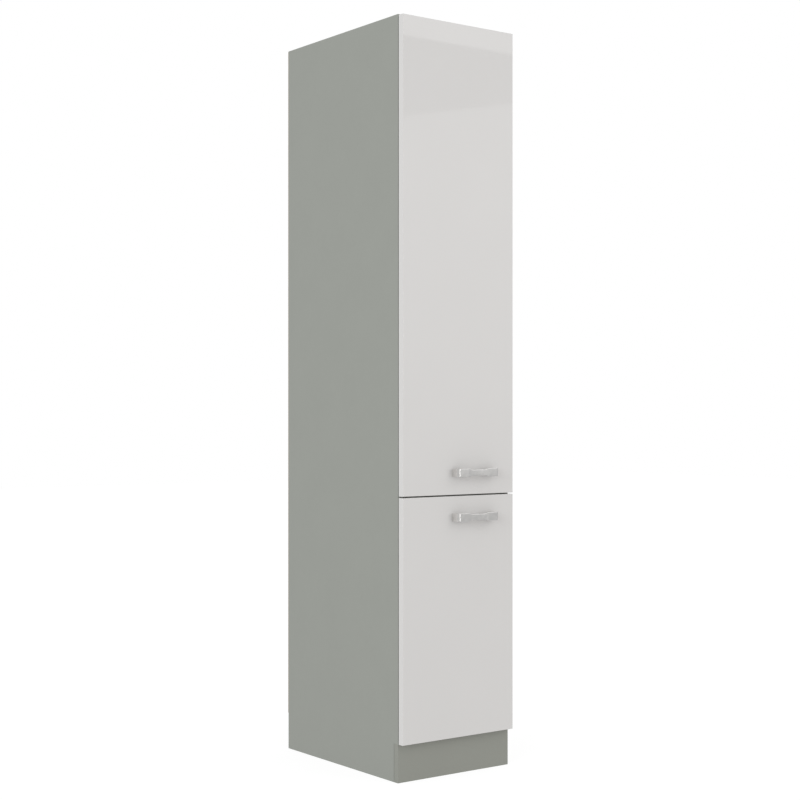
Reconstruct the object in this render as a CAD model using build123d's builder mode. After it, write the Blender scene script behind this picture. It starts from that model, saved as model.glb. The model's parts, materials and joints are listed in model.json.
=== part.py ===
from build123d import *
import os

# A tall kitchen larder cabinet with two doors, one above the other. Millimetres, +Z up.
# The front faces -Y. The origin is on the floor, in the middle of the whole cabinet's footprint,
# handles included.

# Carcass
cabinet_width = 400.0
cabinet_height = 2140.0
carcass_depth = 570.0
board = 16.0
edge_radius = 1.0
back_sheet = 3.0
back_inset = 1.0
back_sheet_gap = 1.0
plinth_height = 108.0
plinth_board = 18.0
plinth_clearance = 1.2
shelf_clearance = 1.0
shelf_setback = 20.0
fit = 0.05
loose_fit = 0.2

# Doors
door_thickness = 20.0
door_gap = 2.5
door_reveal = 0.5
door_top_reveal = 3.0
between_doors = 4.0
lower_door_height = 686.0
door_edge_radius = 1.0

# Handles: a flat bow with two broad pads and a slimmer waist, hollowed along its front
handle_centre_x = 48.0
upper_handle_rise = 62.5
lower_handle_drop = 60.0
handle_hole_spacing = 128.0
handle_length = 150.0
handle_reach = 30.0
handle_pad_height = 24.0
handle_pad_width = 39.0
handle_waist_height = 17.0
handle_waist_blend = 14.0
handle_waist_recess = 2.5
handle_bar = 8.0
handle_leg = 16.0
handle_corner_radius = 8.0
handle_inner_radius = 7.0
handle_edge_radius = 1.2
handle_screw_radius = 2.0
handle_screw_grip = 10.0
handle_screw_relief = 1.0
handle_screw_head_radius = 4.0
handle_screw_head = 2.0
handle_hole_radius = 2.5

# Joints between the boards
cam_radius = 7.5
cam_depth = 12.5
cam_slot_depth = 1.8
cam_setback = 24.0
cam_from_front = 50.0
cam_from_back = 50.0
dowel_from_cam = 32.0
dowel_radius = 4.0
dowel_in_side = 11.5
dowel_in_panel = 17.0
dowel_chamfer = 1.0
bolt_bore_radius = 4.0
bolt_thread_radius = 2.5
bolt_thread_length = 11.0
bolt_shank_radius = 3.0
bolt_neck_radius = 1.8
bolt_neck_length = 5.0
bolt_head_radius = 3.0
bolt_head_length = 3.0

# Loose shelves on pins in drilled rows
hole_pitch = 32.0
holes_beside_pin = 2
pin_row_from_front = 84.0
pin_row_from_back = 84.0
pin_radius = 2.5
pin_depth = 9.0
pin_hole_depth = 12.0
pin_nose_radius = 4.0
pin_nose_length = 8.0
pin_seat = 2.0
first_upper_shelf = 326.0
upper_shelf_step = 320.0
upper_shelf_count = 3
first_lower_shelf = 318.0

# Back, plinth and wall fixings
nail_radius = 0.7
nail_length = 17.0
nail_head_radius = 1.75
nail_head = 0.8
nail_pitch = 150.0
nail_end = 35.0
nail_row = 60.0
bracket_leg = 38.0
bracket_width = 30.0
bracket_sheet = 2.0
bracket_corner_radius = 1.5
wall_bracket_x = 140.0
wall_hole_radius = 4.0
wall_hole_drop = 22.0
plinth_bracket_x = 120.0
bracket_screw_out = 24.0
bracket_screw_pitch = 16.0
board_screw_radius = 1.75
board_screw_length = 14.0
board_screw_head = 1.6
board_screw_head_radius = 3.5

# Door bumpers
bumper_radius = 4.0
bumper_height = 2.2
bumper_end = 30.0

# Cup hinges. Places in plan are (in from the side panel's outer face, back from the carcass front).
hinge_from_door_end = 100.0
middle_hinge_up_door = 500.0
cup_radius = 17.5
cup_edge = 4.0
cup_depth = 12.5
cup_bore_depth = 12.6
cup_floor = 0.6
cup_slot_length = 32.4
cup_slot_width = 16.4
cup_slot_radius = 16.6
flange_sheet = 1.2
flange_radius = 19.0
flange_wing = 30.0
flange_wing_width = 14.0
cup_screw_offset = 6.0
cup_screw_pitch = 48.0
cup_screw_head = 0.96
low_pin_across = 11.5
low_pin_depth = 5.85
high_pin_across = 8.7
high_pin_depth = 2.0
front_arm_pin = (21.9, 1.8)
rear_arm_pin = (38.0, 7.2)
hinge_pin_radius = 1.25
cup_pin_reach = 10.6
link_half_width = 3.5
link_thickness = 3.0
link_eye_radius = 2.8
link_bow = 11.0
arm_inside = 3.8
arm_sheet = 1.5
arm_nose_radius = 2.8
arm_level = 27.0
arm_foot = 17.0
arm_rear = 62.0
arm_front = 16.0
arm_shoulder = 22.0
strap_inside = 5.6
strap_sheet = 1.5
strap_width = 3.2
strap_eye_radius = 2.5
strap_bow = 2.7
open_eye_radius = 2.85
open_eye_wall = 1.4
open_eye_shift = (0.0, 0.25)
rivet_head_radius = 3.6
rivet_head = 0.8
plate_wing = 2.0
plate_wing_half = 26.0
plate_wing_depth = 16.0
plate_screw_from_front = 37.0
plate_screw_pitch = 32.0
plate_screw_radius = 2.5
plate_screw_length = 11.0
plate_screw_head = 2.2
plate_screw_head_radius = 4.2
ridge_front = 22.0
ridge_rear = 60.0
arm_screw_from_front = 46.0
arm_screw_radius = 2.2
arm_screw_length = 8.0
arm_screw_head = 2.0
arm_screw_head_radius = 4.0
slot_width = 1.0
slot_depth = 0.9

# Places worked out from the sizes above
half = cabinet_width / 2
inner_x = half - board
front_reach = door_gap + door_thickness + handle_reach
front = (front_reach - carcass_depth) / 2
back = front + carcass_depth
panel_back = back - back_sheet
door_back = front - door_gap
door_front = door_back - door_thickness
door_width = cabinet_width - 2 * door_reveal
lower_door_bottom = plinth_height
lower_door_top = lower_door_bottom + lower_door_height
upper_door_bottom = lower_door_top + between_doors
upper_door_top = cabinet_height - door_top_reveal
shelf_middle = lower_door_top + between_doors / 2
bottom_board = plinth_height
fixed_board = shelf_middle - board / 2
top_board = cabinet_height - board
board_levels = (bottom_board, fixed_board, top_board)
upper_floor = fixed_board + board
lower_floor = bottom_board + board
upper_shelves = [upper_floor + first_upper_shelf + upper_shelf_step * n for n in range(upper_shelf_count)]
lower_shelves = [lower_floor + first_lower_shelf]
pin_rows = (front + pin_row_from_front, panel_back - pin_row_from_back)
cam_rows = (front + cam_from_front, panel_back - cam_from_back)
dowel_rows = (cam_rows[0] + dowel_from_cam, cam_rows[1] - dowel_from_cam)
upper_hinges = [
    upper_door_bottom + hinge_from_door_end,
    upper_door_bottom + middle_hinge_up_door,
    upper_door_top - hinge_from_door_end,
]
lower_hinges = [lower_door_bottom + hinge_from_door_end, lower_door_top - hinge_from_door_end]
upper_handle_z = upper_door_bottom + upper_handle_rise
lower_handle_z = lower_door_top - lower_handle_drop
wall_hole_z = top_board - wall_hole_drop
cup_x = door_reveal + cup_edge + cup_radius
low_cup_pin = (cup_x - low_pin_across, -door_gap - low_pin_depth)
high_cup_pin = (cup_x - high_pin_across, -door_gap - high_pin_depth)

os.makedirs("parts", exist_ok=True)


def keep(piece, label):
    piece.part.label = label
    export_step(piece.part, f"parts/{label}.step")


def gather(piece, places):
    # Copies of one piece, as separate solids of one node
    with BuildPart() as group:
        with Locations(*places):
            add(piece.part)
    return group


def facing(direction, point):
    # A place for a screw whose head looks along direction, with the seat of its head at point
    return Plane(origin=point, z_dir=direction).location


def headed_pin(shank_radius, shank_length, head_radius, head_height, slotted=True):
    # A screw or nail along Z, with its head above the origin and its shank below
    with BuildPart() as pin:
        with BuildSketch(Plane.XY):
            Circle(shank_radius)
        extrude(amount=-shank_length)
        with BuildSketch(Plane.XY):
            Circle(head_radius)
        extrude(amount=head_height)
        if slotted:
            with BuildSketch(Plane.XY.offset(head_height)):
                Rectangle(head_radius, slot_width)
                Rectangle(slot_width, head_radius)
            extrude(amount=-min(slot_depth, 0.6 * head_height), mode=Mode.SUBTRACT)
    return pin


# Side panels, standing on the floor, notched at the bottom front for the plinth board


def side_panel(side, drilled_for_hinges):
    face = Plane(origin=(side * inner_x, 0, 0), x_dir=(0, -side, 0), z_dir=(-side, 0, 0))
    rear = Plane(origin=(0, panel_back, 0), x_dir=(-1, 0, 0), z_dir=(0, 1, 0))
    notch_back = front + plinth_board + plinth_clearance
    with BuildPart() as panel:
        with BuildSketch(Plane.YZ.offset(min(side * half, side * inner_x))):
            with BuildLine():
                Polyline(
                    (notch_back, 0),
                    (panel_back, 0),
                    (panel_back, cabinet_height),
                    (front, cabinet_height),
                    (front, plinth_height),
                    (notch_back, plinth_height),
                    close=True,
                )
            make_face()
        extrude(amount=board)
        fillet(panel.edges().filter_by(Axis.Z).group_by(Axis.Y)[0], edge_radius)
        with Locations(face):
            for level in board_levels:
                with Locations(*[(-side * y, level + board / 2) for y in cam_rows]):
                    Hole(bolt_thread_radius, bolt_thread_length)
                with Locations(*[(-side * y, level + board / 2) for y in dowel_rows]):
                    Hole(dowel_radius, dowel_in_side + fit)
            for underside in upper_shelves + lower_shelves:
                with Locations(*pin_holes(side, underside)):
                    Hole(pin_radius, pin_hole_depth)
            if drilled_for_hinges:
                with Locations(*plate_holes(side)):
                    Hole(plate_screw_radius, plate_screw_length + fit)
        with Locations(rear):
            with Locations(*[(-side * (half - board / 2), z) for z in side_nail_levels()]):
                Hole(nail_radius, nail_length)
    return panel


def pin_holes(side, underside):
    steps = range(-holes_beside_pin, holes_beside_pin + 1)
    level = underside - pin_seat
    return [(-side * y, level + hole_pitch * step) for y in pin_rows for step in steps]


def plate_holes(side):
    y = front + plate_screw_from_front
    ends = (-plate_screw_pitch / 2, plate_screw_pitch / 2)
    return [(-side * y, z + end) for z in lower_hinges + upper_hinges for end in ends]


def even_steps(low, high, pitch):
    count = max(2, round((high - low) / pitch) + 1)
    return [low + (high - low) * n / (count - 1) for n in range(count)]


def side_nail_levels():
    lower = even_steps(bottom_board + nail_end, shelf_middle - nail_end, nail_pitch)
    upper = even_steps(shelf_middle + nail_end, cabinet_height - nail_end, nail_pitch)
    return lower + upper


left_side = side_panel(-1, True)
right_side = side_panel(1, False)
keep(left_side, "left_side_panel")
keep(right_side, "right_side_panel")

# Bottom, fixed middle and top boards between the sides


def cross_board(level, cams_above, extra_holes):
    # cams_above says that the cams are let in from the upper face
    cam_face = level + board if cams_above else level
    turn = 1 if cams_above else -1
    cam_plane = Plane(origin=(0, 0, cam_face), x_dir=(1, 0, 0), z_dir=(0, 0, turn))
    rear = Plane(origin=(0, panel_back, 0), x_dir=(-1, 0, 0), z_dir=(0, 1, 0))
    with BuildPart() as panel:
        with BuildSketch(Plane.XY.offset(level)):
            with Locations((0, (front + panel_back) / 2)):
                Rectangle(2 * inner_x, panel_back - front)
        extrude(amount=board)
        with Locations(cam_plane):
            cams = [(x, turn * y) for x in (-1, 1) for y in cam_rows]
            with Locations(*[(x * (inner_x - cam_setback), y) for x, y in cams]):
                Hole(cam_radius, cam_depth + fit)
        for side in (-1, 1):
            end = Plane(origin=(side * inner_x, 0, 0), x_dir=(0, side, 0), z_dir=(side, 0, 0))
            with Locations(end):
                with Locations(*[(side * y, level + board / 2) for y in cam_rows]):
                    Hole(bolt_bore_radius, cam_setback)
                with Locations(*[(side * y, level + board / 2) for y in dowel_rows]):
                    Hole(dowel_radius, dowel_in_panel + fit)
        with Locations(rear):
            with Locations(*[(x, z) for x, z in board_nails() if level < z < level + board]):
                Hole(nail_radius, nail_length)
        for place, radius, depth in extra_holes:
            with Locations(place):
                Hole(radius, depth)
    return panel


def board_nails():
    # Places of the nails in the cross boards, as seen from behind
    quarter = board / 4
    levels = (bottom_board + board / 2, shelf_middle - quarter, shelf_middle + quarter, top_board + board / 2)
    return [(x, z) for z in levels for x in (-nail_row, nail_row)]


def bracket_screw_places(x, corner_y, level, away):
    # Screws through the flat leg of a bracket, up into the board whose underside is at level
    y = corner_y + away * bracket_screw_out
    ends = (-bracket_screw_pitch / 2, bracket_screw_pitch / 2)
    return [facing((0, 0, -1), (x + end, y, level - bracket_sheet)) for end in ends]


plinth_back = front + plinth_board
top_screws = [
    place for x in (-wall_bracket_x, wall_bracket_x) for place in bracket_screw_places(x, panel_back, top_board, -1)
]
bottom_screws = [
    place
    for x in (-plinth_bracket_x, plinth_bracket_x)
    for place in bracket_screw_places(x, plinth_back, bottom_board, 1)
]
screw_reach = bracket_sheet + board_screw_length + fit
bottom_panel = cross_board(bottom_board, False, [(place, board_screw_radius, screw_reach) for place in bottom_screws])
fixed_shelf = cross_board(fixed_board, False, [])
top_panel = cross_board(top_board, True, [(place, board_screw_radius, screw_reach) for place in top_screws])
keep(bottom_panel, "bottom_panel")
keep(fixed_shelf, "fixed_shelf")
keep(top_panel, "top_panel")

# Cam fittings and dowels, which join the boards to the sides

with BuildPart() as cam:
    with BuildSketch(Plane.XY):
        Circle(cam_radius - fit)
    extrude(amount=-cam_depth)
    with BuildSketch(Plane.XY):
        Rectangle(cam_radius, slot_width)
        Rectangle(slot_width, cam_radius)
    extrude(amount=-cam_slot_depth, mode=Mode.SUBTRACT)
    with BuildSketch(Plane.YZ.offset(-bolt_head_length)):
        with Locations((0, -board / 2)):
            Circle(bolt_head_radius + loose_fit)
    extrude(amount=cam_radius + bolt_head_length, mode=Mode.SUBTRACT)

neck_start = cam_setback - bolt_head_length / 2 - bolt_neck_length
with BuildPart() as cam_bolt:
    with BuildSketch(Plane.XY):
        with BuildLine():
            Polyline(
                (-bolt_thread_length, 0),
                (-bolt_thread_length, bolt_thread_radius - fit),
                (0, bolt_thread_radius - fit),
                (0, bolt_shank_radius),
                (neck_start, bolt_shank_radius),
                (neck_start, bolt_neck_radius),
                (neck_start + bolt_neck_length, bolt_neck_radius),
                (neck_start + bolt_neck_length, bolt_head_radius),
                (neck_start + bolt_neck_length + bolt_head_length, bolt_head_radius),
                (neck_start + bolt_neck_length + bolt_head_length, 0),
                close=True,
            )
        make_face()
    revolve(axis=Axis.X)

with BuildPart() as dowel:
    with BuildSketch(Plane.YZ.offset(-dowel_in_side)):
        Circle(dowel_radius - fit)
    extrude(amount=dowel_in_side + dowel_in_panel)
    chamfer(dowel.edges().filter_by(GeomType.CIRCLE), dowel_chamfer)

cam_places = []
bolt_places = []
dowel_places = []
for level in board_levels:
    cams_above = level == top_board
    for side in (-1, 1):
        for y in cam_rows:
            cam_face = level + board if cams_above else level
            cam_plane = Plane(
                origin=(side * (inner_x - cam_setback), y, cam_face),
                x_dir=(side, 0, 0),
                z_dir=(0, 0, 1 if cams_above else -1),
            )
            cam_places.append(cam_plane.location)
            bolt_places.append(Location((side * inner_x, y, level + board / 2), (0, 0, 90 + 90 * side)))
        for y in dowel_rows:
            dowel_places.append(Location((side * inner_x, y, level + board / 2), (0, 0, 90 + 90 * side)))
keep(gather(cam, cam_places), "cam_housings")
keep(gather(cam_bolt, bolt_places), "cam_bolts")
keep(gather(dowel, dowel_places), "dowels")

# Loose shelves and their pins


def loose_shelf(underside):
    with BuildPart() as shelf:
        with BuildSketch(Plane.XY.offset(underside)):
            front_edge = front + shelf_setback
            rear_edge = panel_back - shelf_clearance
            with Locations((0, (front_edge + rear_edge) / 2)):
                Rectangle(2 * (inner_x - shelf_clearance), rear_edge - front_edge)
        extrude(amount=board)
        fillet(shelf.edges().filter_by(Axis.X).group_by(Axis.Y)[0], edge_radius)
    return shelf


with BuildPart() as shelf_pin:
    with BuildSketch(Plane.YZ.offset(-pin_depth)):
        Circle(pin_radius - fit)
    extrude(amount=pin_depth)
    with BuildSketch(Plane.YZ):
        Circle(pin_nose_radius)
        with Locations((0, pin_seat)):
            Rectangle(
                2 * pin_nose_radius, 2 * pin_nose_radius, align=(Align.CENTER, Align.MIN), mode=Mode.SUBTRACT
            )
    extrude(amount=pin_nose_length)

shelf_pin_places = []
for underside in lower_shelves + upper_shelves:
    for side in (-1, 1):
        for y in pin_rows:
            shelf_pin_places.append(Location((side * inner_x, y, underside - pin_seat), (0, 0, 90 + 90 * side)))
keep(gather(shelf_pin, shelf_pin_places), "shelf_pins")
for number, underside in enumerate(upper_shelves, start=1):
    keep(loose_shelf(underside), f"upper_shelf_{number}")
for number, underside in enumerate(lower_shelves, start=1):
    keep(loose_shelf(underside), f"lower_shelf_{number}")

# Back, in two sheets that meet behind the fixed shelf, nailed flush


def back_board(low, high, wall_holes):
    rear = Plane(origin=(0, back, 0), x_dir=(-1, 0, 0), z_dir=(0, 1, 0))
    with BuildPart() as sheet:
        with BuildSketch(Plane.XZ.offset(-back)):
            with Locations((0, (low + high) / 2)):
                Rectangle(cabinet_width - 2 * back_inset, high - low)
        extrude(amount=back_sheet)
        with Locations(rear):
            with Locations(*[place for place in nail_places() if low < place[1] < high]):
                CounterBoreHole(nail_radius, nail_head_radius, nail_head)
            if wall_holes:
                with Locations((-wall_bracket_x, wall_hole_z), (wall_bracket_x, wall_hole_z)):
                    Hole(wall_hole_radius)
    return sheet


def nail_places():
    # As seen from behind: across, up
    rows = [(side * (half - board / 2), z) for side in (-1, 1) for z in side_nail_levels()]
    return rows + board_nails()


half_gap = back_sheet_gap / 2
keep(back_board(bottom_board + back_inset, shelf_middle - half_gap, False), "lower_back_sheet")
keep(back_board(shelf_middle + half_gap, cabinet_height - back_inset, True), "upper_back_sheet")
nail = headed_pin(nail_radius - fit, nail_length, nail_head_radius - fit, nail_head, slotted=False)
nail_seats = [facing((0, 1, 0), (-x, back - nail_head, z)) for x, z in nail_places()]
keep(gather(nail, nail_seats), "back_nails")

# Plinth board in the notches, and its angle brackets

with BuildPart() as plinth:
    with BuildSketch(Plane.XY):
        with Locations((0, (front + plinth_back) / 2)):
            Rectangle(cabinet_width, plinth_board)
    extrude(amount=plinth_height)
    fillet(plinth.edges().filter_by(Axis.Z).group_by(Axis.Y)[0], edge_radius)
    plinth_face = Plane(origin=(0, plinth_back, 0), x_dir=(-1, 0, 0), z_dir=(0, 1, 0))
    upright_z = plinth_height - bracket_screw_out
    ends = (-bracket_screw_pitch / 2, bracket_screw_pitch / 2)
    upright_x = [x + end for x in (-plinth_bracket_x, plinth_bracket_x) for end in ends]
    with Locations(plinth_face):
        with Locations(*[(-x, upright_z) for x in upright_x]):
            Hole(board_screw_radius, board_screw_length + fit)
keep(plinth, "plinth_board")


def angle_bracket(x, corner_y, level, away, wall_hole):
    # One leg lies under the board at level, the other stands down from it at corner_y
    with BuildPart() as bracket:
        with BuildSketch(Plane.YZ.offset(x - bracket_width / 2)):
            with BuildLine():
                Polyline(
                    (corner_y, level),
                    (corner_y + away * bracket_leg, level),
                    (corner_y + away * bracket_leg, level - bracket_sheet),
                    (corner_y + away * bracket_sheet, level - bracket_sheet),
                    (corner_y + away * bracket_sheet, level - bracket_leg),
                    (corner_y, level - bracket_leg),
                    close=True,
                )
            make_face()
        extrude(amount=bracket_width)
        upper_edges = bracket.edges().filter_by(Axis.X).group_by(Axis.Z)[-1].sort_by(Axis.Y)
        fillet(upper_edges[-1 if away < 0 else 0], bracket_corner_radius)
        for place in bracket_screw_places(x, corner_y, level, away):
            with Locations(place):
                Hole(board_screw_radius, bracket_leg)
        upright = Plane(origin=(x, corner_y + away * bracket_sheet, 0), x_dir=(-away, 0, 0), z_dir=(0, away, 0))
        with Locations(upright):
            if wall_hole:
                with Locations((0, wall_hole_z)):
                    Hole(wall_hole_radius, bracket_leg)
            else:
                with Locations(*[(end, level - bracket_screw_out) for end in ends]):
                    Hole(board_screw_radius, bracket_leg)
    return bracket


def bracket_pair(x, corner_y, level, away, wall_hole):
    with BuildPart() as pair:
        add(angle_bracket(-x, corner_y, level, away, wall_hole).part)
        add(angle_bracket(x, corner_y, level, away, wall_hole).part)
    return pair


keep(bracket_pair(wall_bracket_x, panel_back, top_board, -1, True), "wall_brackets")
keep(bracket_pair(plinth_bracket_x, plinth_back, bottom_board, 1, False), "plinth_brackets")
short_screw = headed_pin(
    board_screw_radius - fit, board_screw_length + bracket_sheet, board_screw_head_radius, board_screw_head
)
upright_screws = [facing((0, 1, 0), (x, plinth_back + bracket_sheet, upright_z)) for x in upright_x]
keep(gather(short_screw, top_screws), "wall_bracket_screws")
keep(gather(short_screw, bottom_screws + upright_screws), "plinth_bracket_screws")

# Doors


def door(low, high, hinge_levels, handle_z):
    rear = Plane(origin=(0, door_back, 0), x_dir=(-1, 0, 0), z_dir=(0, 1, 0))
    cup_centre = -half + cup_x
    with BuildPart() as leaf:
        with BuildSketch(Plane.XZ.offset(-door_back)):
            with Locations((0, (low + high) / 2)):
                Rectangle(door_width, high - low)
        extrude(amount=door_thickness)
        fillet(leaf.faces().sort_by(Axis.Y)[0].edges(), door_edge_radius)
        fillet(leaf.faces().sort_by(Axis.Y)[-1].edges(), door_edge_radius)
        with Locations(rear):
            with Locations(*[(-cup_centre, z) for z in hinge_levels]):
                Hole(cup_radius, cup_bore_depth)
            with Locations(*[(-x, z) for x, z in cup_screw_places(hinge_levels)]):
                Hole(board_screw_radius, board_screw_length + fit)
            with Locations(*[(-x, handle_z) for x in handle_holes()]):
                Hole(handle_hole_radius)
    return leaf


def cup_screw_places(hinge_levels):
    x = -half + cup_x + cup_screw_offset
    return [(x, z + end) for z in hinge_levels for end in (-cup_screw_pitch / 2, cup_screw_pitch / 2)]


def handle_holes():
    return [handle_centre_x - handle_hole_spacing / 2, handle_centre_x + handle_hole_spacing / 2]


keep(door(upper_door_bottom, upper_door_top, upper_hinges, upper_handle_z), "upper_door")
keep(door(lower_door_bottom, lower_door_top, lower_hinges, lower_handle_z), "lower_door")

# Handles, with screws through the doors


def handle(centre_z):
    reach = door_front - handle_reach
    end = handle_length / 2
    inner = end - handle_leg
    waist_end = end - handle_pad_width
    with BuildPart() as bow:
        with BuildSketch(Plane.XY.offset(centre_z - handle_pad_height / 2)):
            with Locations((handle_centre_x, (door_front + reach) / 2)):
                Rectangle(handle_length, handle_reach)
        extrude(amount=handle_pad_height)
        fillet(bow.edges().filter_by(Axis.Z).group_by(Axis.Y)[0], handle_corner_radius)
        with BuildSketch(Plane.XY.offset(centre_z - handle_pad_height / 2)):
            with BuildLine():
                Polyline(
                    (handle_centre_x - inner, door_front),
                    (handle_centre_x - inner, reach + handle_bar),
                    (handle_centre_x + inner, reach + handle_bar),
                    (handle_centre_x + inner, door_front),
                    close=True,
                )
            outline = make_face()
            fillet(outline.vertices().group_by(Axis.Y)[0], handle_inner_radius)
        extrude(amount=handle_pad_height, mode=Mode.SUBTRACT)
        with BuildSketch(Plane.XZ.offset(-door_front)):
            for turn in (-1, 1):
                with BuildLine():
                    low = centre_z + turn * handle_waist_height / 2
                    high = centre_z + turn * handle_pad_height / 2
                    clear = centre_z + turn * handle_pad_height
                    Polyline(
                        (handle_centre_x - waist_end, clear),
                        (handle_centre_x - waist_end, high),
                        (handle_centre_x - waist_end + handle_waist_blend, low),
                        (handle_centre_x + waist_end - handle_waist_blend, low),
                        (handle_centre_x + waist_end, high),
                        (handle_centre_x + waist_end, clear),
                        close=True,
                    )
                make_face()
        extrude(amount=handle_reach, mode=Mode.SUBTRACT)
        fillet(bow.faces().sort_by(Axis.Y)[0].edges(), handle_edge_radius)
        with BuildSketch(Plane.XY.offset(centre_z - handle_pad_height / 2)):
            with BuildLine():
                left = (handle_centre_x - waist_end, reach)
                right = (handle_centre_x + waist_end, reach)
                ThreePointArc(left, (handle_centre_x, reach + handle_waist_recess), right)
                Polyline(right, (handle_centre_x, reach - handle_waist_recess), left)
            make_face()
        extrude(amount=handle_pad_height, mode=Mode.SUBTRACT)
        rear = Plane(origin=(0, door_front, centre_z), x_dir=(-1, 0, 0), z_dir=(0, 1, 0))
        with Locations(rear):
            with Locations(*[(-x, 0) for x in handle_holes()]):
                Hole(handle_screw_radius, handle_screw_grip + handle_screw_relief)
    return bow


keep(handle(upper_handle_z), "upper_handle")
keep(handle(lower_handle_z), "lower_handle")
handle_screw = headed_pin(
    handle_screw_radius - fit, door_thickness + handle_screw_grip, handle_screw_head_radius, handle_screw_head
)
for name, z in (("upper", upper_handle_z), ("lower", lower_handle_z)):
    seats = [facing((0, 1, 0), (x, door_back, z)) for x in handle_holes()]
    keep(gather(handle_screw, seats), f"{name}_handle_screws")

# Bumpers on the doors' backs, where they meet the right side panel's edge

with BuildPart() as bumper:
    with BuildSketch(Plane.XY):
        Circle(bumper_radius)
    extrude(amount=bumper_height)
    fillet(bumper.edges().group_by(Axis.Z)[-1], bumper_height / 2)

bumper_x = half - board / 2
for name, low, high in (
    ("upper", upper_door_bottom, upper_door_top),
    ("lower", lower_door_bottom, lower_door_top),
):
    seats = [facing((0, 1, 0), (bumper_x, door_back, z)) for z in (low + bumper_end, high - bumper_end)]
    keep(gather(bumper, seats), f"{name}_door_bumpers")

# Cup hinges, made about a point on the side panel's outer face, level with the carcass front.
# A goose-neck link carries the cup, and a pair of straps outside the arm steadies it.


def hinge_places(levels):
    return [Location((-half, front, z)) for z in levels]


def bowed(start, end, bow):
    # Control points of a curve from start to end that bulges to its right by bow
    first, last = Vector(*start), Vector(*end)
    across = (last - first).normalized().rotate(Axis.Z, 90)
    return [first, (first + last) / 2 + across * 2 * bow, last]


with BuildPart() as cup:
    mouth = Plane.XZ.offset(door_gap - flange_sheet)
    with BuildSketch(mouth):
        with Locations((cup_x, 0)):
            Circle(flange_radius)
        with Locations((cup_x + cup_screw_offset, 0)):
            RectangleRounded(flange_wing_width, 2 * flange_wing, flange_wing_width / 3)
    extrude(amount=flange_sheet)
    with BuildSketch(Plane.XZ.offset(door_gap)):
        with Locations((cup_x, 0)):
            Circle(cup_radius - fit)
    extrude(amount=cup_depth)
    with BuildSketch(mouth):
        with Locations((cup_x, 0)):
            Rectangle(cup_slot_length, cup_slot_width)
            Circle(cup_slot_radius, mode=Mode.INTERSECT)
    extrude(amount=flange_sheet + cup_depth - cup_floor, mode=Mode.SUBTRACT)
    with Locations(mouth):
        with Locations(*[(cup_x + cup_screw_offset, end) for end in (-cup_screw_pitch / 2, cup_screw_pitch / 2)]):
            Hole(board_screw_radius, 2 * flange_sheet)
    with BuildSketch(Plane.XY.offset(-cup_pin_reach)):
        with Locations(low_cup_pin, high_cup_pin):
            Circle(hinge_pin_radius)
    extrude(amount=2 * cup_pin_reach, mode=Mode.SUBTRACT)

with BuildPart() as cup_pins:
    with BuildSketch(Plane.XY.offset(-cup_pin_reach)):
        with Locations(low_cup_pin):
            Circle(hinge_pin_radius)
    extrude(amount=2 * cup_pin_reach)
    stub_length = cup_pin_reach - strap_inside
    for start in (-cup_pin_reach, strap_inside):
        with BuildSketch(Plane.XY.offset(start)):
            with Locations(high_cup_pin):
                Circle(hinge_pin_radius)
        extrude(amount=stub_length)

with BuildPart() as goose_neck:
    with BuildSketch(Plane.XY.offset(-link_half_width)):
        with BuildLine():
            Bezier(*bowed(front_arm_pin, low_cup_pin, link_bow))
        trace(line_width=link_thickness)
        with Locations(front_arm_pin, low_cup_pin):
            Circle(link_eye_radius)
            Circle(hinge_pin_radius + fit, mode=Mode.SUBTRACT)
    extrude(amount=2 * link_half_width)

with BuildPart() as strap_pair:
    for start in (-strap_inside - strap_sheet, strap_inside):
        with BuildSketch(Plane.XY.offset(start)):
            with BuildLine():
                Bezier(*bowed(rear_arm_pin, high_cup_pin, strap_bow))
            trace(line_width=strap_width)
            open_eye = (rear_arm_pin[0] + open_eye_shift[0], rear_arm_pin[1] + open_eye_shift[1])
            with Locations(high_cup_pin):
                Circle(strap_eye_radius)
                Circle(hinge_pin_radius + fit, mode=Mode.SUBTRACT)
            with Locations(open_eye):
                Circle(open_eye_radius + open_eye_wall)
                Circle(open_eye_radius, mode=Mode.SUBTRACT)
        extrude(amount=strap_sheet)

with BuildPart() as arm:
    arm_half = arm_inside + arm_sheet
    with BuildSketch(Plane.XY.offset(-arm_half)):
        with BuildLine():
            Polyline(
                (arm_foot, arm_rear),
                (arm_foot, arm_front),
                (front_arm_pin[0] - arm_nose_radius, front_arm_pin[1]),
                (front_arm_pin[0], front_arm_pin[1] - arm_nose_radius),
                (rear_arm_pin[0], rear_arm_pin[1] - arm_nose_radius),
                (rear_arm_pin[0] + arm_nose_radius, rear_arm_pin[1]),
                (arm_level, arm_shoulder),
                (arm_level, arm_rear),
                close=True,
            )
        make_face()
        with Locations(front_arm_pin, rear_arm_pin):
            Circle(arm_nose_radius)
            Circle(hinge_pin_radius, mode=Mode.SUBTRACT)
    extrude(amount=2 * arm_half)
    with BuildSketch(Plane.XY.offset(-arm_inside)):
        with BuildLine():
            Polyline(
                (arm_foot - arm_sheet, arm_rear + arm_sheet),
                (arm_level - arm_sheet, arm_rear + arm_sheet),
                (arm_level - arm_sheet, arm_shoulder - arm_sheet / 2),
                (rear_arm_pin[0] + arm_nose_radius - 1.5 * arm_sheet, rear_arm_pin[1]),
                (rear_arm_pin[0] + 2 * arm_nose_radius, rear_arm_pin[1]),
                (rear_arm_pin[0] + 2 * arm_nose_radius, front_arm_pin[1] - 2 * arm_nose_radius),
                (arm_foot - arm_sheet, front_arm_pin[1] - 2 * arm_nose_radius),
                close=True,
            )
        make_face()
        with Locations(rear_arm_pin):
            Circle(hinge_pin_radius + arm_sheet / 2)
    extrude(amount=2 * arm_inside, mode=Mode.SUBTRACT)
    with Locations(Plane(origin=(arm_level, arm_screw_from_front, 0), z_dir=(1, 0, 0))):
        Hole(arm_screw_radius + fit, arm_sheet)

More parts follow.
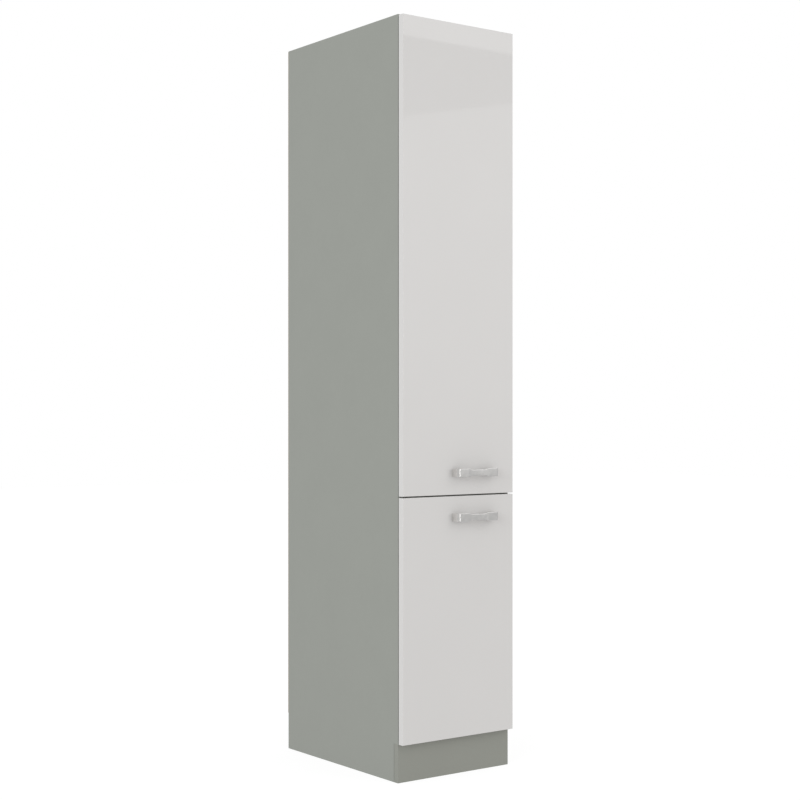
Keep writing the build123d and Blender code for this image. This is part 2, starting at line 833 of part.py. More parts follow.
with BuildPart() as arm_pins:
    with BuildSketch(Plane.XY.offset(-arm_half)):
        with Locations(front_arm_pin):
            Circle(hinge_pin_radius)
    extrude(amount=2 * arm_half)
    rivet_half = strap_inside + strap_sheet + 2 * fit
    with BuildSketch(Plane.XY.offset(-rivet_half)):
        with Locations(rear_arm_pin):
            Circle(hinge_pin_radius)
    extrude(amount=2 * rivet_half)
    for start in (-rivet_half - rivet_head, rivet_half):
        with BuildSketch(Plane.XY.offset(start)):
            with Locations(rear_arm_pin):
                Circle(rivet_head_radius)
        extrude(amount=rivet_head)

with BuildPart() as plate:
    with BuildSketch(Plane.YZ.offset(board)):
        with Locations((plate_screw_from_front, 0)):
            RectangleRounded(plate_wing_depth, 2 * plate_wing_half, plate_wing_depth / 3)
        with Locations(((ridge_front + ridge_rear) / 2, 0)):
            Rectangle(ridge_rear - ridge_front, 2 * (arm_half + arm_sheet))
    extrude(amount=min(plate_wing, arm_foot - board))
    with BuildSketch(Plane.YZ.offset(board)):
        with Locations((plate_screw_from_front, 0)):
            RectangleRounded(plate_wing_depth, 2 * plate_wing_half, plate_wing_depth / 3)
            Rectangle(plate_wing_depth, 2 * (arm_half + arm_sheet), mode=Mode.SUBTRACT)
    extrude(amount=plate_wing)
    with BuildSketch(Plane.YZ.offset(board)):
        with Locations(((ridge_front + ridge_rear) / 2, 0)):
            Rectangle(ridge_rear - ridge_front, 2 * (arm_inside - loose_fit))
    extrude(amount=arm_level - arm_sheet - board)
    with Locations(Plane(origin=(board + plate_wing, plate_screw_from_front, 0), x_dir=(0, 1, 0), z_dir=(1, 0, 0))):
        with Locations((0, -plate_screw_pitch / 2), (0, plate_screw_pitch / 2)):
            Hole(plate_screw_radius, plate_wing)
    with Locations(Plane(origin=(arm_level - arm_sheet, arm_screw_from_front, 0), z_dir=(1, 0, 0))):
        Hole(arm_screw_radius, arm_screw_length)

all_hinges = lower_hinges + upper_hinges
keep(gather(plate, hinge_places(all_hinges)), "hinge_plates")
keep(gather(arm, hinge_places(all_hinges)), "hinge_arms")
keep(gather(arm_pins, hinge_places(all_hinges)), "hinge_arm_pins")
plate_screw = headed_pin(
    plate_screw_radius - fit, plate_screw_length + plate_wing, plate_screw_head_radius, plate_screw_head
)
arm_screw = headed_pin(arm_screw_radius - fit, arm_screw_length, arm_screw_head_radius, arm_screw_head)
plate_seats = []
arm_seats = []
for z in all_hinges:
    for end in (-plate_screw_pitch / 2, plate_screw_pitch / 2):
        seat = (-half + board + plate_wing, front + plate_screw_from_front, z + end)
        plate_seats.append(facing((1, 0, 0), seat))
    arm_seats.append(facing((1, 0, 0), (-half + arm_level, front + arm_screw_from_front, z)))
keep(gather(plate_screw, plate_seats), "hinge_plate_screws")
keep(gather(arm_screw, arm_seats), "hinge_arm_screws")

cup_screw = headed_pin(
    board_screw_radius - fit, board_screw_length + flange_sheet, board_screw_head_radius, cup_screw_head
)
for name, levels in (("upper", upper_hinges), ("lower", lower_hinges)):
    places = hinge_places(levels)
    keep(gather(cup, places), f"{name}_hinge_cups")
    keep(gather(cup_pins, places), f"{name}_cup_pins")
    keep(gather(goose_neck, places), f"{name}_goose_neck_links")
    keep(gather(strap_pair, places), f"{name}_strap_links")
    screw_seats = [facing((0, 1, 0), (x, door_back + flange_sheet, z)) for x, z in cup_screw_places(levels)]
    keep(gather(cup_screw, screw_seats), f"{name}_cup_screws")
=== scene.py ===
import json
import math

import bmesh
import bpy
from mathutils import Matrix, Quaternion, Vector

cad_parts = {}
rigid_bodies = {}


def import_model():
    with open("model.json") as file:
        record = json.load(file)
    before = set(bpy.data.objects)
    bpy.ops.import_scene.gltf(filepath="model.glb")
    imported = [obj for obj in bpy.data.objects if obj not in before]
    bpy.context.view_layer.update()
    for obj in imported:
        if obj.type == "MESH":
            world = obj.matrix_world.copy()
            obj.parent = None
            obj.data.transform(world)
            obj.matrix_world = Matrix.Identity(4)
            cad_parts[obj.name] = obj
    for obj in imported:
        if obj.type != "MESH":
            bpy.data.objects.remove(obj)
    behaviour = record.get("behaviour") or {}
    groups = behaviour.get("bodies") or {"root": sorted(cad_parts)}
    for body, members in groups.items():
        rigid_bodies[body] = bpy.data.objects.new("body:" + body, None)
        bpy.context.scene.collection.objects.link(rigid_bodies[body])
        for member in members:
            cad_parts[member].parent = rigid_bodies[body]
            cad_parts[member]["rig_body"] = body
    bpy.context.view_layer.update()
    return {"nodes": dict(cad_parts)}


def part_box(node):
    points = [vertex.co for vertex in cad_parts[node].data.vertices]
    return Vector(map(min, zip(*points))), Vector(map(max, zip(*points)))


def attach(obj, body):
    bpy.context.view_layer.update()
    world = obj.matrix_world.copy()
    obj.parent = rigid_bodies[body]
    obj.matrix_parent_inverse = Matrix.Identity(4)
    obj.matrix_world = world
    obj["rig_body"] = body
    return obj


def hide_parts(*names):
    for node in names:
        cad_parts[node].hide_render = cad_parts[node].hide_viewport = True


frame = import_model()
nodes = frame["nodes"]
print("larder cabinet: the packed model is loaded,", len(nodes), "nodes")


# small helpers for shader and geometry trees

evenly = (1, 1, 1)        # a pattern that isn't stretched along any axis
noiseRange = (0.3, 0.7)   # nearly all of a noise's values


def addNode(tree, kind, inputs=None, **settings):
    node = tree.nodes.new(kind)
    for name, value in settings.items():
        setattr(node, name, value)
    for name, value in (inputs or {}).items():
        feed(tree, node.inputs[name], value)
    return node


def feed(tree, socket, value):
    if isinstance(value, bpy.types.NodeSocket):
        tree.links.new(value, socket)
    elif value is not None:
        socket.default_value = value


def calc(tree, operation, a, b=None, c=None, kind="ShaderNodeMath"):
    node = addNode(tree, kind, operation=operation)
    for place, value in enumerate((a, b, c)):
        feed(tree, node.inputs[place], value)
    return node.outputs[0]


def plus(tree, a, b):
    return calc(tree, "ADD", a, b)


def minus(tree, a, b):
    return calc(tree, "SUBTRACT", a, b)


def times(tree, a, b):
    return calc(tree, "MULTIPLY", a, b)


def larger(tree, a, b):
    return calc(tree, "MAXIMUM", a, b)


def axesOf(tree, vector):
    return addNode(tree, "ShaderNodeSeparateXYZ", {0: vector}).outputs


def vectorFrom(tree, axes):
    return addNode(tree, "ShaderNodeCombineXYZ", axes).outputs[0]


def blendColour(tree, share, first, second):
    node = addNode(tree, "ShaderNodeMix", data_type="RGBA")
    feed(tree, node.inputs[0], share)
    for place, colour in ((6, first), (7, second)):
        mixed = isinstance(colour, bpy.types.NodeSocket)
        feed(tree, node.inputs[place], colour if mixed else (*colour, 1))
    return node.outputs[2]


def blendValue(tree, share, first, second):
    node = addNode(tree, "ShaderNodeMix", data_type="FLOAT")
    for place, value in ((0, share), (2, first), (3, second)):
        feed(tree, node.inputs[place], value)
    return node.outputs[0]


def grain(tree, coords, scale, detail, stretch=evenly, rough=0.55):
    # noise on object coordinates, stretched along the axes
    mapping = addNode(tree, "ShaderNodeMapping", {"Vector": coords, "Scale": stretch})
    noise = addNode(tree, "ShaderNodeTexNoise", {
        "Vector": mapping.outputs[0], "Scale": scale, "Detail": detail, "Roughness": rough})
    return noise.outputs["Fac"]


def spread(tree, value, low, high, toLow=0.0, toHigh=1.0):
    node = addNode(tree, "ShaderNodeMapRange", {
        "Value": value, "From Min": low, "From Max": high, "To Min": toLow, "To Max": toHigh})
    return node.outputs[0]


def wander(tree, noise, low, high):
    # a noise drawn out so that it wanders between two values
    return spread(tree, noise, *noiseRange, low, high)


def wanderAbout(tree, noise, middle, reach):
    return wander(tree, noise, middle - reach, middle + reach)


def toned(tree, colour, tone):
    # the colour, lighter or darker by a tone near 1
    scaled = calc(tree, "SCALE", colour, kind="ShaderNodeVectorMath")
    feed(tree, scaled.node.inputs["Scale"], tone)
    return scaled


def startMaterial(name):
    material = bpy.data.materials.new(name)
    material.use_nodes = True
    tree = material.node_tree
    coords = addNode(tree, "ShaderNodeTexCoord").outputs["Object"]
    return material, tree, tree.nodes["Principled BSDF"], coords


def bumpFrom(tree, shader, height, strength, distance):
    bump = addNode(tree, "ShaderNodeBump", {
        "Height": height, "Strength": strength, "Distance": distance})
    tree.links.new(bump.outputs[0], shader.inputs["Normal"])


# finishes

laminateLook = {
    "skin": (0.301, 0.309, 0.280),       # grey melamine decor
    # the same grey melamine as the skin, painted darker for the shade that falls on the plinth
    # under the doors
    "plinthSkin": (0.275, 0.279, 0.247),
    "skinDepth": 0.0005,
    "cloudScale": 9.0,
    "cloud": 0.010,                      # how much the grey wanders
    "speckScale": 900.0,
    "speck": 0.02,
    "roughness": 0.46,
    "roughnessReach": 0.04,
    "roughnessScale": 40.0,
    "pebbleScale": 1400.0,
    "pebble": 0.35,
    "bandDepth": 0.0012,                 # thickness of the edge bands
    "seamWidth": 0.00012,
    "seam": (0.2, 0.21, 0.2),
    "seamShare": 0.35,
    "coreLight": (0.47, 0.34, 0.21),     # raw chipboard
    "coreDark": (0.24, 0.155, 0.085),
    "coreRoughness": 0.9,
    "coarseScale": 180.0,
    "chipScale": 620.0,
    "chipStretch": (1.0, 0.55, 1.0),
    "chipRelief": 700.0,
    "relief": 0.25,
    "reliefDepth": 0.0002,
    "faceLean": 0.6,                     # least cosine between a face's normal and the way across
    "notchLean": 0.9,                    # the same for the notch's front and the way forwards
}


def boardMaterial(name, node, across, banded, look=laminateLook, skin="skin", notched=False):
    # across: the axis through the board; banded: (axis, side) of each edge with an edge band
    material, tree, shader, coords = startMaterial(name)
    low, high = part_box(node)
    place = axesOf(tree, coords)
    normal = axesOf(tree, addNode(tree, "ShaderNodeNewGeometry").outputs["Normal"])
    facing = calc(tree, "GREATER_THAN", calc(tree, "ABSOLUTE", normal[across]), look["faceLean"])
    middle, half = (low[across] + high[across]) / 2, (high[across] - low[across]) / 2
    offCentre = calc(tree, "ABSOLUTE", minus(tree, place[across], middle))
    onFace = calc(tree, "GREATER_THAN", offCentre, half - look["skinDepth"])
    shown = times(tree, facing, onFace)
    seam = 0.0
    for axis, side in banded:
        edge = high[axis] if side > 0 else low[axis]
        depth = times(tree, minus(tree, edge, place[axis]), float(side))
        shown = larger(tree, shown, calc(tree, "LESS_THAN", depth, look["bandDepth"]))
        line = calc(tree, "COMPARE", depth, look["bandDepth"], look["seamWidth"])
        seam = larger(tree, line, seam)
    if notched:  # the front of the plinth's notch is banded too
        inNotch = calc(tree, "LESS_THAN", normal[1], -look["notchLean"])
        shown = larger(tree, shown, inNotch)
    # the printed grey, with a soft cloud and a fine speck
    cloud = wanderAbout(tree, grain(tree, coords, look["cloudScale"], 4), 1, look["cloud"])
    speck = wanderAbout(tree, grain(tree, coords, look["speckScale"], 2), 0, look["speck"])
    grey = toned(tree, look[skin], plus(tree, cloud, speck))
    # chips of the raw board
    stretched = addNode(tree, "ShaderNodeMapping", {"Vector": coords, "Scale": look["chipStretch"]})
    chips = addNode(tree, "ShaderNodeTexVoronoi", {
        "Vector": stretched.outputs[0], "Scale": look["chipScale"]}, feature="F1")
    chipTone = addNode(tree, "ShaderNodeSeparateColor", {0: chips.outputs["Color"]}).outputs[0]
    coarse = grain(tree, coords, look["coarseScale"], 3)
    core = blendColour(tree, times(tree, plus(tree, chipTone, coarse), 0.5),
                       look["coreDark"], look["coreLight"])
    seamShare = times(tree, times(tree, seam, facing), look["seamShare"])
    colour = blendColour(tree, seamShare, blendColour(tree, shown, core, grey), look["seam"])
    feed(tree, shader.inputs["Base Color"], colour)
    satin = wanderAbout(tree, grain(tree, coords, look["roughnessScale"], 3),
                        look["roughness"], look["roughnessReach"])
    feed(tree, shader.inputs["Roughness"], blendValue(tree, shown, look["coreRoughness"], satin))
    pebble = times(tree, grain(tree, coords, look["pebbleScale"], 2), look["pebble"])
    chipHeight = times(tree, chips.outputs["Distance"], look["chipRelief"])
    bumpFrom(tree, shader, blendValue(tree, shown, chipHeight, pebble),
             look["relief"], look["reliefDepth"])
    return material


glossLook = {
    "face": (0.662, 0.645, 0.632),     # white foil
    "faceDepth": 0.0004,
    "faceRoughness": 0.03,
    "faceReach": 0.01,
    "polishScale": 12.0,
    "index": 1.62,
    "cloudScale": 3.0,
    "cloud": 0.008,
    "waveScale": 55.0,                 # the foil's faint waviness
    "wave": 0.3,
    "edge": 0.0014,                    # how far the foil wraps round the edges
    "back": (0.70, 0.70, 0.685),
    "backRoughness": 0.42,
    "backReach": 0.05,
    "backScale": 900.0,
    "pebbleScale": 1300.0,
    "core": (0.36, 0.25, 0.15),        # raw fibreboard
    "coreDark": (0.25, 0.165, 0.095),
    "coreRoughness": 0.85,
    "fibreScale": 500.0,
    "fibreStretch": (1, 3, 1),
    "relief": 0.03,
    "reliefDepth": 0.0002,
}


def doorMaterial(name, node, look=glossLook):
    material, tree, shader, coords = startMaterial(name)
    low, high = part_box(node)
    place = axesOf(tree, coords)
    # how far a point lies inside the door's outline, and behind its front and its back
    rim = 1.0
    for axis in (0, 2):
        middle, half = (low[axis] + high[axis]) / 2, (high[axis] - low[axis]) / 2
        away = calc(tree, "ABSOLUTE", minus(tree, place[axis], middle))
        rim = calc(tree, "MINIMUM", minus(tree, half, away), rim)
    onBack = calc(tree, "LESS_THAN", minus(tree, high[1], place[1]), look["faceDepth"])
    onFront = calc(tree, "LESS_THAN", minus(tree, place[1], low[1]), look["faceDepth"])
    foil = larger(tree, onFront, calc(tree, "LESS_THAN", rim, look["edge"]))
    foil = times(tree, foil, minus(tree, 1.0, onBack))
    raw = minus(tree, 1.0, larger(tree, foil, onBack))
    fibre = grain(tree, coords, look["fibreScale"], 4, look["fibreStretch"])
    core = blendColour(tree, fibre, look["coreDark"], look["core"])
    cloud = wanderAbout(tree, grain(tree, coords, look["cloudScale"], 2), 1, look["cloud"])
    white = blendColour(tree, onBack, toned(tree, look["face"], cloud),
                        toned(tree, look["back"], cloud))
    feed(tree, shader.inputs["Base Color"], blendColour(tree, raw, white, core))
    matt = wanderAbout(tree, grain(tree, coords, look["backScale"], 2),
                       look["backRoughness"], look["backReach"])
    polish = wanderAbout(tree, grain(tree, coords, look["polishScale"], 3),
                         look["faceRoughness"], look["faceReach"])
    rough = blendValue(tree, onBack, polish, matt)
    feed(tree, shader.inputs["Roughness"], blendValue(tree, raw, rough, look["coreRoughness"]))
    shader.inputs["IOR"].default_value = look["index"]
    wave = times(tree, grain(tree, coords, look["waveScale"], 1), look["wave"])
    pebble = grain(tree, coords, look["pebbleScale"], 2)
    bumpFrom(tree, shader, blendValue(tree, onBack, wave, pebble),
             look["relief"], look["reliefDepth"])
    return material


backLook = {
    "lacquer": (0.335, 0.350, 0.325),    # the side that faces the inside
    "lacquerDepth": 0.0003,
    "lacquerRoughness": 0.5,
    "cloudScale": 14.0,
    "cloud": 0.03,
    "hardboard": (0.255, 0.165, 0.095),
    "fibre": (0.36, 0.25, 0.155),
    "fibreRange": (0.35, 0.65),
    "fibreScale": 260.0,
    "fibreStretch": (1, 1, 0.35),
    "hardboardRoughness": (0.6, 0.78),
    "relief": 0.2,
    "reliefDepth": 0.0002,
}


def backMaterial(name, node, look=backLook):
    material, tree, shader, coords = startMaterial(name)
    low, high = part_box(node)
    fromFront = minus(tree, axesOf(tree, coords)[1], low[1])
    inner = calc(tree, "LESS_THAN", fromFront, look["lacquerDepth"])
    strands = grain(tree, coords, look["fibreScale"], 6, look["fibreStretch"], 0.7)
    brown = blendColour(tree, spread(tree, strands, *look["fibreRange"]),
                        look["hardboard"], look["fibre"])
    cloud = wanderAbout(tree, grain(tree, coords, look["cloudScale"], 3), 1, look["cloud"])
    colour = blendColour(tree, inner, brown, toned(tree, look["lacquer"], cloud))
    feed(tree, shader.inputs["Base Color"], colour)
    rough = wander(tree, strands, *look["hardboardRoughness"])
    feed(tree, shader.inputs["Roughness"],
         blendValue(tree, inner, rough, look["lacquerRoughness"]))
    bumpFrom(tree, shader, strands, look["relief"], look["reliefDepth"])
    return material


metalLooks = {
    # stretch and scale shape the polishing marks, and cloud says how much the colour wanders
    "satinNickel": {"colour": (0.80, 0.79, 0.775), "roughness": 0.15, "stretch": (0.05, 1, 1),
                    "scale": 2400.0, "relief": 0.03, "cloud": 0.03, "lacquer": 0.4},
    "platedSteel": {"colour": (0.60, 0.595, 0.575), "roughness": 0.24, "stretch": evenly,
                    "scale": 420.0, "relief": 0.08, "cloud": 0.05, "lacquer": 0.0},
    "zincSteel": {"colour": (0.56, 0.57, 0.58), "roughness": 0.34, "stretch": evenly,
                  "scale": 300.0, "relief": 0.10, "cloud": 0.08, "lacquer": 0.0},
}
metalFinish = {  # what the three metals share
    "patchScale": 90.0,
    "patchTone": 0.03,
    "smoother": 0.05,
    "rougher": 0.06,
    "reliefDepth": 0.00005,
    "lacquerRoughness": 0.06,
    "lacquerIndex": 1.5,
}


def metalMaterial(name, finish=metalFinish):
    look = metalLooks[name]
    material, tree, shader, coords = startMaterial(name)
    marks = grain(tree, coords, look["scale"], 5, look["stretch"], 0.65)
    patches = grain(tree, coords, finish["patchScale"], 3)
    tone = plus(tree, wanderAbout(tree, marks, 1, look["cloud"]),
                wanderAbout(tree, patches, 0, finish["patchTone"]))
    feed(tree, shader.inputs["Base Color"], toned(tree, look["colour"], tone))
    shader.inputs["Metallic"].default_value = 1.0
    feed(tree, shader.inputs["Roughness"],
         wander(tree, patches, look["roughness"] - finish["smoother"],
                look["roughness"] + finish["rougher"]))
    if look["lacquer"]:
        shader.inputs["Coat Weight"].default_value = look["lacquer"]
        shader.inputs["Coat Roughness"].default_value = finish["lacquerRoughness"]
        shader.inputs["Coat IOR"].default_value = finish["lacquerIndex"]
    bumpFrom(tree, shader, marks, look["relief"], finish["reliefDepth"])
    return material


beechLook = {
    "pale": (0.60, 0.43, 0.26),
    "dark": (0.42, 0.26, 0.14),
    "fibreScale": 900.0,
    "fibreStretch": (0.12, 1, 1),
    "fibreShare": 0.8,
    "fleckScale": 2200.0,
    "fleckStretch": (0.3, 1, 1),
    "fleckRange": (0.55, 0.7),
    "fleckShare": 0.4,
    "roughness": (0.55, 0.7),
    "relief": 0.2,
    "reliefDepth": 0.0001,
}


def beechMaterial(name, look=beechLook):
    material, tree, shader, coords = startMaterial(name)
    fibre = grain(tree, coords, look["fibreScale"], 4, look["fibreStretch"])
    flecks = grain(tree, coords, look["fleckScale"], 2, look["fleckStretch"])
    share = plus(tree, wander(tree, fibre, 0.0, look["fibreShare"]),
                 spread(tree, flecks, *look["fleckRange"], 0.0, look["fleckShare"]))
    feed(tree, shader.inputs["Base Color"], blendColour(tree, share, look["pale"], look["dark"]))
    feed(tree, shader.inputs["Roughness"], wander(tree, fibre, *look["roughness"]))
    bumpFrom(tree, shader, fibre, look["relief"], look["reliefDepth"])
    return material


elastomerLook = {
    "dull": (0.62, 0.63, 0.61),
    "clear": (0.72, 0.72, 0.70),
    "hazeScale": 500.0,
    "roughness": (0.22, 0.34),
    "transmission": 0.25,
    "index": 1.45,
    "relief": 0.08,
    "reliefDepth": 0.0001,
}


def elastomerMaterial(name, look=elastomerLook):
    material, tree, shader, coords = startMaterial(name)
    haze = grain(tree, coords, look["hazeScale"], 3)
    feed(tree, shader.inputs["Base Color"], blendColour(tree, haze, look["dull"], look["clear"]))
    feed(tree, shader.inputs["Roughness"], wander(tree, haze, *look["roughness"]))
    shader.inputs["Transmission Weight"].default_value = look["transmission"]
    shader.inputs["IOR"].default_value = look["index"]
    bumpFrom(tree, shader, haze, look["relief"], look["reliefDepth"])
    return material


satinNickel, platedSteel, zincSteel = (metalMaterial(name) for name in metalLooks)
beech = beechMaterial("beechDowel")
clearBumper = elastomerMaterial("clearBumper")
print("larder cabinet: metals, wood and elastomer are mixed")


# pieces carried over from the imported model, with softened edges

edgeLook = {
    "mergeWithin": 2e-6,
    "flatWithin": 0.4,      # degrees: seams between triangles that are flatter than this go
    "sharpFrom": 35,        # degrees: edges sharper than this are rounded
    "segments": 2,
    "smoothWithin": 0.6,    # radians
}


def addObject(name, data):
    made = bpy.data.objects.new(name, data)
    bpy.context.scene.collection.objects.link(made)
    return made


def tidyNormals(mesh, angle=edgeLook["smoothWithin"]):
    mesh.shade_smooth()
    mesh.set_sharp_from_angle(angle=angle)


def standIn(piece, node):
    # the piece moves as the node does, and stands for it
    body = nodes[node].get("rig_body")
    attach(piece, body)
    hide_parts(node)


def paint(mesh, material):
    mesh.materials.clear()
    mesh.materials.append(material)


def bakeModifiers(piece):
    # the evaluated result becomes the piece's own plain mesh
    graph = bpy.context.evaluated_depsgraph_get()
    result = bpy.data.meshes.new_from_object(piece.evaluated_get(graph))
    piece.modifiers.clear()
    piece.data = result


def mergedShape(node):
    # a node's loose triangles, joined at their corners
    shape = bmesh.new()
    shape.from_mesh(nodes[node].data)
    bmesh.ops.remove_doubles(shape, verts=shape.verts, dist=edgeLook["mergeWithin"])
    return shape


def softened(node, material, width, look=edgeLook):
    # a copy of a carried-over node whose sharp edges are rounded by width
    shape = mergedShape(node)
    bmesh.ops.dissolve_limit(shape, angle_limit=math.radians(look["flatWithin"]),
                             verts=shape.verts, edges=shape.edges)
    mesh = bpy.data.meshes.new(node + "_soft")
    shape.to_mesh(mesh)
    shape.free()
    piece = addObject(node + "_soft", mesh)
    bevel = piece.modifiers.new("edges", "BEVEL")
    bevel.width = width
    bevel.segments = look["segments"]
    bevel.limit_method = "ANGLE"
    bevel.angle_limit = math.radians(look["sharpFrom"])
    bevel.use_clamp_overlap = True
    bakeModifiers(piece)
    tidyNormals(piece.data)
    flat = piece.modifiers.new("flatFaces", "WEIGHTED_NORMAL")  # large faces are shaded flat
    flat.keep_sharp = True
    bakeModifiers(piece)
    paint(piece.data, material)
    standIn(piece, node)


frontEdge = (1, -1)  # the axis and side of an edge band on the front
topEdge = (2, 1)
boards = {
    "left_side_panel": (0, [frontEdge, topEdge]),
    "right_side_panel": (0, [frontEdge, topEdge]),
    "bottom_panel": (2, [frontEdge]),
    "fixed_shelf": (2, [frontEdge]),
    "top_panel": (2, [frontEdge]),
    "upper_shelf_1": (2, [frontEdge]),
    "upper_shelf_2": (2, [frontEdge]),
    "upper_shelf_3": (2, [frontEdge]),
    "lower_shelf_1": (2, [frontEdge]),
}
boardEdge = 0.0004
for node, (across, banded) in boards.items():
    laminate = boardMaterial(node + "_laminate", node, across, banded,
                             notched="side_panel" in node)
    softened(node, laminate, boardEdge)
plinthEdge = 0.0005
plinthBands = [(0, -1), (0, 1), (2, 1), (2, -1)]
# the plinth's grey is painted darker, for the shade under the doors' overhang
plinthLaminate = boardMaterial("plinth_laminate", "plinth_board", 1, plinthBands,
                               skin="plinthSkin")
softened("plinth_board", plinthLaminate, plinthEdge)
print("larder cabinet: boards are laminated and edge banded")

for node, material in (
    ("upper_door", doorMaterial("upperDoorGloss", "upper_door")),
    ("lower_door", doorMaterial("lowerDoorGloss", "lower_door")),
    ("upper_back_sheet", backMaterial("upperBackBoard", "upper_back_sheet")),
    ("lower_back_sheet", backMaterial("lowerBackBoard", "lower_back_sheet")),
    ("dowels", beech),
    ("upper_door_bumpers", clearBumper),
    ("lower_door_bumpers", clearBumper),
    ("shelf_pins", platedSteel),
    ("cam_bolts", zincSteel),
    ("hinge_arm_pins", zincSteel),
    ("upper_cup_pins", zincSteel),
    ("lower_cup_pins", zincSteel),
):
    paint(nodes[node].data, material)
print("larder cabinet: doors are foiled")

fittingEdges = {  # how much the edges of each fitting are rounded
    "hinge_arms": 0.00025,
    "hinge_plates": 0.0004,
    "upper_hinge_cups": 0.0003,
    "lower_hinge_cups": 0.0003,
    "upper_goose_neck_links": 0.0003,
    "lower_goose_neck_links": 0.0003,
    "upper_strap_links": 0.0002,
    "lower_strap_links": 0.0002,
}
for node, width in fittingEdges.items():
    softened(node, platedSteel, width)
bracketEdge = 0.0003
for node in ("wall_brackets", "plinth_brackets", "cam_housings"):
    softened(node, zincSteel, bracketEdge)
print("larder cabinet: hinges and brackets are plated")


# geometry trees

def hereIn(tree):
    # the axes of the point that a geometry tree is at
    return axesOf(tree, addNode(tree, "GeometryNodeInputPosition").outputs[0])


def startTree(name, sizes):
    # sizes: the named inputs with their defaults
    tree = bpy.data.node_groups.new(name, "GeometryNodeTree")
    for way in ("INPUT", "OUTPUT"):
        tree.interface.new_socket(name="Geometry", in_out=way, socket_type="NodeSocketGeometry")
    for label, value in sizes.items():
        socket = tree.interface.new_socket(name=label, in_out="INPUT",
                                           socket_type="NodeSocketFloat")
        socket.default_value = value
    return tree, tree.nodes.new("NodeGroupInput").outputs


def endTree(tree, geometry, material):
    real = addNode(tree, "GeometryNodeRealizeInstances", {"Geometry": geometry})
    painted = addNode(tree, "GeometryNodeSetMaterial", {
        "Geometry": real.outputs[0], "Material": material})
    tree.links.new(painted.outputs[0], tree.nodes.new("NodeGroupOutput").inputs[0])


def growPiece(name, tree, seats, sizes, node, angle=edgeLook["smoothWithin"]):
    # seats: (point, facing) of each copy; the tree reads facing as an attribute
    mesh = bpy.data.meshes.new(name)
    mesh.from_pydata([point for point, facing in seats], [], [])
    facings = mesh.attributes.new("facing", "FLOAT_VECTOR", "POINT")
    for place, (point, facing) in enumerate(seats):
        facings.data[place].vector = facing
    piece = addObject(name, mesh)
    modifier = piece.modifiers.new("build", "NODES")
    modifier.node_group = tree
    for item in tree.interface.items_tree:
        if item.item_type == "SOCKET" and item.in_out == "INPUT" and item.name in sizes:
            modifier[item.identifier] = float(sizes[item.name])
    bakeModifiers(piece)
    tidyNormals(piece.data, angle)
    standIn(piece, node)


handleSizes = {
    # the first six are read from each handle's own box
    "Centre X": 0.0,
    "Centre Z": 0.0,
    "Door Face": 0.0,
    "Length": 0.150,
    "Reach": 0.030,
    "Pad Height": 0.024,
    "Leg": 0.016,
    "Bar": 0.008,
    "Pad Width": 0.039,
    "Waist Height": 0.017,
    "Blend": 0.014,
    "Recess": 0.0012,
    "Outer Corner": 0.008,
    "Inner Corner": 0.007,
    "Pad Roundness": 0.12,
    "Waist Roundness": 0.17,
}
handleDetail = {"cornerSteps": 14, "pathPoints": 220, "sides": 56, "rings": 180,
                "smoothWithin": 0.9}


